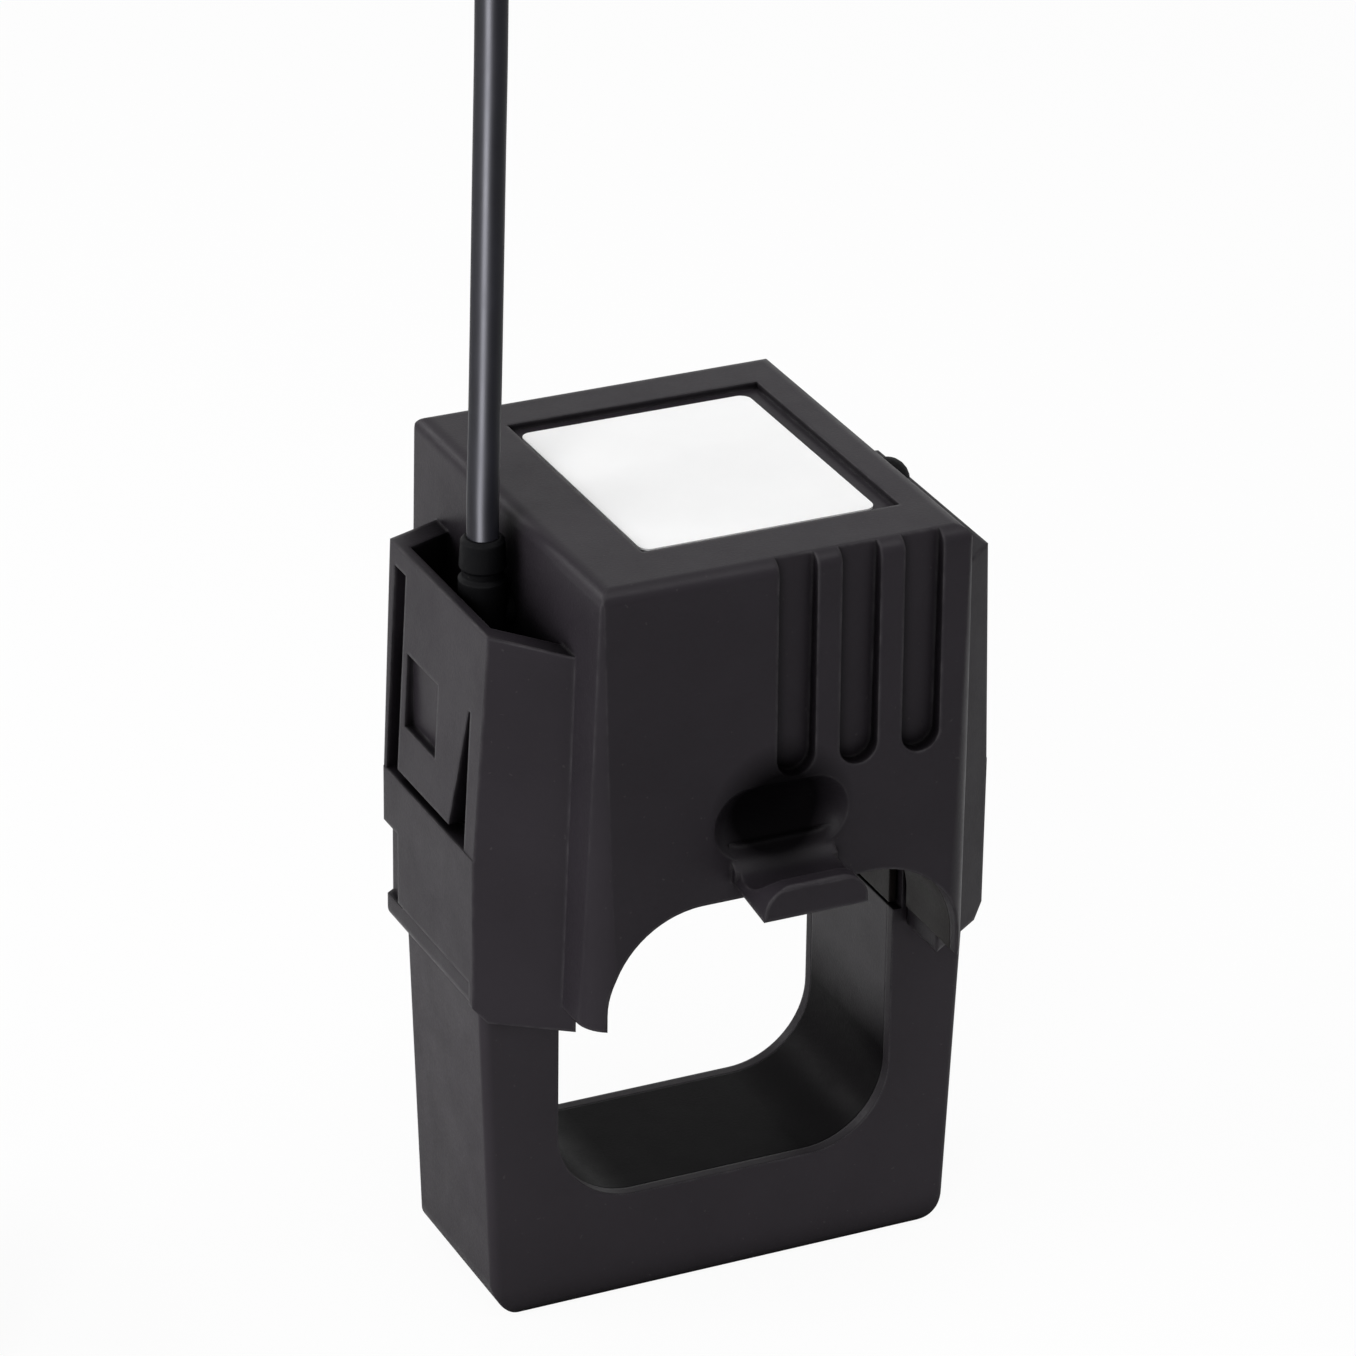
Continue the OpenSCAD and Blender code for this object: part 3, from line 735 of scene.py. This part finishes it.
@dataclass
class Lead:
    """Two-core sheathed lead: up from the grommet, over to the side, and into a neat coil."""

    diameter: float = 3.8
    route: tuple[Point, ...] = (
        (-27.4, -1.5, 99.5), (-27.4, -1.5, 103.5), (-27.2, -1.5, 112), (-27, -1.5, 122),
        (-26.8, -1.5, 134), (-26.6, -1.5, 146), (-26.4, -1.6, 160), (-26.4, -1.9, 178),
        (-26.4, -2, 195), (-28.3, -0.9, 207.2), (-33.6, 2.2, 217.9), (-41.8, 7, 225.8),
        (-51.9, 12.9, 230.1), (-62.6, 19.1, 230.1), (-73, 25, 225.8), (-81.3, 29.8, 217.9),
        (-86.7, 32.9, 207.2), (-88.5, 34, 195), (-88.5, 34, 178), (-88.5, 34, 161),
        (-88.5, 34, 144), (-88.5, 34, 128), (-88.5, 34, 112), (-88.5, 34, 96), (-88.5, 34, 80),
        (-88.5, 34, 64), (-88.5, 34, 48), (-88.5, 34, 33), (-88.5, 34, 20), (-88.5, 32.9, 13),
        (-88.5, 30.1, 8.2), (-88.5, 27.3, 5.6), (-88.5, 24.2, 3.9), (-88.5, 20.6, 2.8),
        (-88.5, 16.8, 2.4),
    )
    coil_centre: tuple[float, float] = (-110.3, 13.3)
    coil_low: float = 0.6
    mid_radius: float = 18.0
    columns: int = 3
    layers: int = 6
    turn_points: int = 24
    step_deg: float = 75.0
    over_tie: float = 26.1
    rise_deg: float = 75.0
    fall_deg: tuple[float, float] = (105.0, 60.0)
    outwards_deg: float = 170.0
    climb_points_count: int = 26
    arch_steps: int = 5
    coil_steps: int = 2
    tail: Point = (-128.3, 14.3, 25.32)
    sides: int = 24

    def place_of_turn(self, number: int) -> tuple[float, float]:
        """Radius and height of one turn; columns are wound from the outer one inwards.

        Args:
            number: Which turn it is, from 0.

        Returns:
            Radius and height in millimetres.
        """
        column, layer = divmod(number, self.layers)
        if column % 2 == 0:
            layer = self.layers - 1 - layer
        radius = self.mid_radius + ((self.columns - 1) / 2 - column) * self.diameter
        height = self.coil_low + (self.layers - layer - 0.5) * self.diameter
        return radius, height

    def coil_points(self) -> list[Point]:
        """Points of all the turns, with a step to the next place at the end of each."""
        points: list[Point] = []
        for number in range(self.columns * self.layers - 1):
            here, there = self.place_of_turn(number), self.place_of_turn(number + 1)
            for i in range(self.turn_points):
                angle = 360 * i / self.turn_points
                t = smooth_step((angle - 360 + self.step_deg) / self.step_deg)
                radius = here[0] + t * (there[0] - here[0])
                height = here[1] + t * (there[1] - here[1])
                points.append(self.round_coil(radius, angle, height))
        return points

    def round_coil(self, radius: float, travelled: float, height: float) -> Point:
        """Point on the way round the coil's axis.

        Args:
            radius: Distance from the axis, in millimetres.
            travelled: Degrees travelled clockwise.
            height: Height over the floor, in millimetres.

        Returns:
            The point, in millimetres.
        """
        turn = -math.radians(travelled)
        return (self.coil_centre[0] + radius * math.cos(turn),
                self.coil_centre[1] + radius * math.sin(turn), height)

    def climb_points(self) -> list[Point]:
        """Last half turn, which rises over the tie and comes outwards to the tail."""
        inner, low = self.place_of_turn(self.columns * self.layers - 1)
        points = []
        fall_from, fall_over = self.fall_deg
        for i in range(self.climb_points_count):
            angle = 180 * i / (self.climb_points_count - 1)
            radius = inner + (self.mid_radius - inner) * smooth_step(angle / self.outwards_deg)
            height = low + (self.over_tie - low) * smooth_step(angle / self.rise_deg)
            height -= (self.over_tie - self.tail[2]) * smooth_step((angle - fall_from) / fall_over)
            points.append(self.round_coil(radius, angle, height))
        return points

    def points(self) -> list[Vector]:
        """Centre line of the whole lead, straight at both ends and smooth between.

        Returns:
            Its points, in metres.
        """
        whole = [*self.route, *self.coil_points(), *self.climb_points(), self.tail]
        knots = [millimetres(p) for p in whole]
        line = []
        for i, (here, there) in enumerate(zip(knots, knots[1:])):
            count = self.arch_steps if i < len(self.route) else self.coil_steps
            if i in (0, len(knots) - 2):
                count = 1
            before, after = knots[max(i - 1, 0)], knots[min(i + 2, len(knots) - 1)]
            line += [between(before, here, there, after, step / count) for step in range(count)]
        return [*line, knots[-1]]

    def build(self, wardrobe: Wardrobe) -> bpy.types.Object:
        """Args:
            wardrobe: The finishes.

        Returns:
            The sheath.
        """
        points = self.points()
        curve = bpy.data.curves.new("lead_line", "CURVE")
        curve.dimensions = "3D"
        curve.bevel_depth = self.diameter / 2 * MM
        curve.bevel_resolution = self.sides // 4 - 1
        curve.use_fill_caps = True
        curve.twist_mode = "MINIMUM"
        spline = curve.splines.new("POLY")
        spline.points.add(len(points) - 1)
        for knot, point in zip(spline.points, points):
            knot.co = (*point, 1)
        line = bpy.data.objects.new("lead_line", curve)
        bpy.context.scene.collection.objects.link(line)
        graph = bpy.context.evaluated_depsgraph_get()
        mesh = bpy.data.meshes.new_from_object(line.evaluated_get(graph))
        bpy.data.objects.remove(line)
        bm = bmesh.new()
        bm.from_mesh(mesh)
        bpy.data.meshes.remove(mesh)
        sheath = piece_from_bmesh("lead_sheath", bm, 50)
        dress(sheath, wardrobe.made[Slot.SHEATH])
        length = sum((b - a).length for a, b in zip(points, points[1:]))
        LOG.info("lead: %.3f m", length)
        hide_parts("cable_run", "cable_coil", "cable_tail")
        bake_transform(sheath)
        return sheath


# ---- Sub-assemblies ----


@dataclass
class UpperHousing:
    """Winding block with its tunnel, label, lead entry and everything inside."""

    slots: dict[str, Slot] = field(default_factory=lambda: {
        "housing_shell": Slot.HOUSING, "tunnel_liner": Slot.LINER, "nameplate": Slot.LABEL,
        "upper_core": Slot.CORE, "bobbin": Slot.BOBBIN, "secondary_winding": Slot.WIRE,
        "winding_tape": Slot.TAPE, "tag_start": Slot.TINNED, "tag_finish": Slot.TINNED,
        "inner_lead_brown": Slot.BROWN, "inner_lead_blue": Slot.BLUE,
        "cable_grommet": Slot.GROMMET, "blanking_plug": Slot.GROMMET,
    })

    def build(self, wardrobe: Wardrobe) -> None:
        """Dresses the housing's nodes."""
        wardrobe.nodes(self.slots)


@dataclass
class LowerFrame:
    """U-shaped frame that holds the lower core on its spring."""

    slots: dict[str, Slot] = field(default_factory=lambda: {
        "lower_shell": Slot.FRAME, "lower_lining": Slot.LINING, "lower_core": Slot.CORE,
        "core_spring": Slot.SPRING, "coil_tie": Slot.TIE, "core_brown": Slot.BROWN,
        "core_blue": Slot.BLUE, "ferrule_brown": Slot.TINNED, "ferrule_blue": Slot.TINNED,
    })
    collar_profile: tuple[tuple[float, float], ...] = (
        (0.71, -3), (0.8, -3), (0.83, -2.85), (0.83, -0.4), (0.72, 0.9), (0.69, 1.2), (0.56, 1.2),
        (0.56, 0.02), (0.71, 0.02),
    )
    collar_steps: int = 32

    def build(self, wardrobe: Wardrobe) -> None:
        """Dresses the frame's nodes and adds what the lead's end has."""
        wardrobe.nodes(self.slots)
        for color, slot in (("brown", Slot.BROWN), ("blue", Slot.BLUE)):
            wardrobe.piece(self.collar(color), slot, "lower_frame")

    def collar(self, color: str) -> bpy.types.Object:
        """Plastic collar that guides a core into its ferrule.

        Args:
            color: Which core.

        Returns:
            The collar.
        """
        corners = [Vector(corner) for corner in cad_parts["ferrule_" + color].bound_box]
        middle = (corners[0] + corners[6]) / 2
        start = min(corner.y for corner in corners)
        bm = bmesh.new()
        ring = [bm.verts.new((middle.x + radius * MM, start + along * MM, middle.z))
                for radius, along in self.collar_profile]
        edges = [bm.edges.new((a, b)) for a, b in zip(ring, ring[1:] + ring[:1])]
        bmesh.ops.spin(bm, geom=ring + edges, cent=middle, axis=(0, 1, 0), dvec=(0, 0, 0),
                       angle=math.tau, steps=self.collar_steps, use_merge=True, use_duplicate=False)
        return piece_from_bmesh("ferrule_collar_" + color, bm, 30)


def main() -> None:
    """Builds the scene."""
    logging.basicConfig(level=logging.INFO, format="%(name)s: %(message)s")
    studio = Studio()
    studio.build()
    wardrobe = Wardrobe()
    studio.stripe(Lead().build(wardrobe))
    UpperHousing().build(wardrobe)
    LowerFrame().build(wardrobe)


if __name__ == "__main__":
    main()
